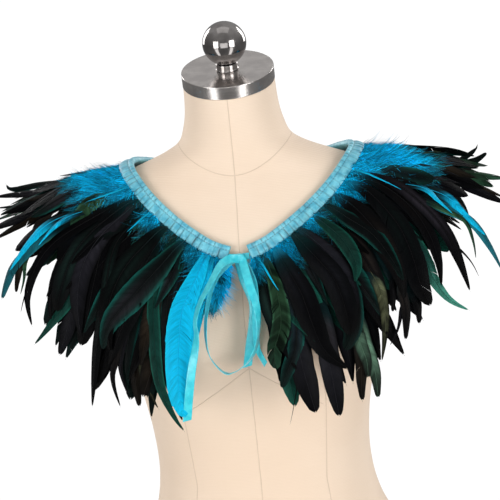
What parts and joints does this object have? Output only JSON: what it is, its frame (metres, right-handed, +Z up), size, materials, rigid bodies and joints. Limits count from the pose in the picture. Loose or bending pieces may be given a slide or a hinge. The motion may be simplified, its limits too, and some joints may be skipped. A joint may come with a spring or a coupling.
{
  "type": "feather cape on a dress form",
  "caption": "Shoulder cape of long dyed cock feathers hung from a satin neck band, tied at the front with ribbon, on a limbless linen dress form with a steel neck cap.",
  "frame": {"origin": "centre of the dress form's flat base", "axes": "+Z up through the neck, -Y out of the form's front, +X towards the wearer's left"},
  "size_m": [0.5886, 0.3423, 0.7124],
  "materials": {
    "form_linen": "fine plain woven linen, matt",
    "cap_steel": "turned and brushed",
    "ball_chrome": "polished, lightly worn",
    "band_satin": "satin, semi-gloss",
    "feather": "glossy barbs, black and dark green, dyed turquoise at the roots",
    "ribbon_satin": "satin ribbon, glossy"
  },
  "bodies": {
    "root": {"dress_form": "form_linen", "neck_cap": "cap_steel", "cap_collar": "ball_chrome", "cap_ball": "ball_chrome", "neck_band": "band_satin", "feathers_under_front_left": "feather", "feathers_under_front_right": "feather", "feathers_under_shoulder_left": "feather", "feathers_under_shoulder_right": "feather", "feathers_under_back_left": "feather", "feathers_under_back_right": "feather", "feathers_middle_front_left": "feather", "feathers_middle_front_right": "feather", "feathers_middle_shoulder_left": "feather", "feathers_middle_shoulder_right": "feather", "feathers_middle_back_left": "feather", "feathers_middle_back_right": "feather", "feathers_top_front_left": "feather", "feathers_top_front_right": "feather", "feathers_top_shoulder_left": "feather", "feathers_top_shoulder_right": "feather", "feathers_top_back_left": "feather", "feathers_top_back_right": "feather", "tie_bridge": "ribbon_satin", "tie_knot": "ribbon_satin", "tie_loop": "ribbon_satin", "tie_tail_centre": "ribbon_satin", "tie_tail_left": "ribbon_satin", "tie_tail_right": "ribbon_satin"}
  },
  "joints": []
}
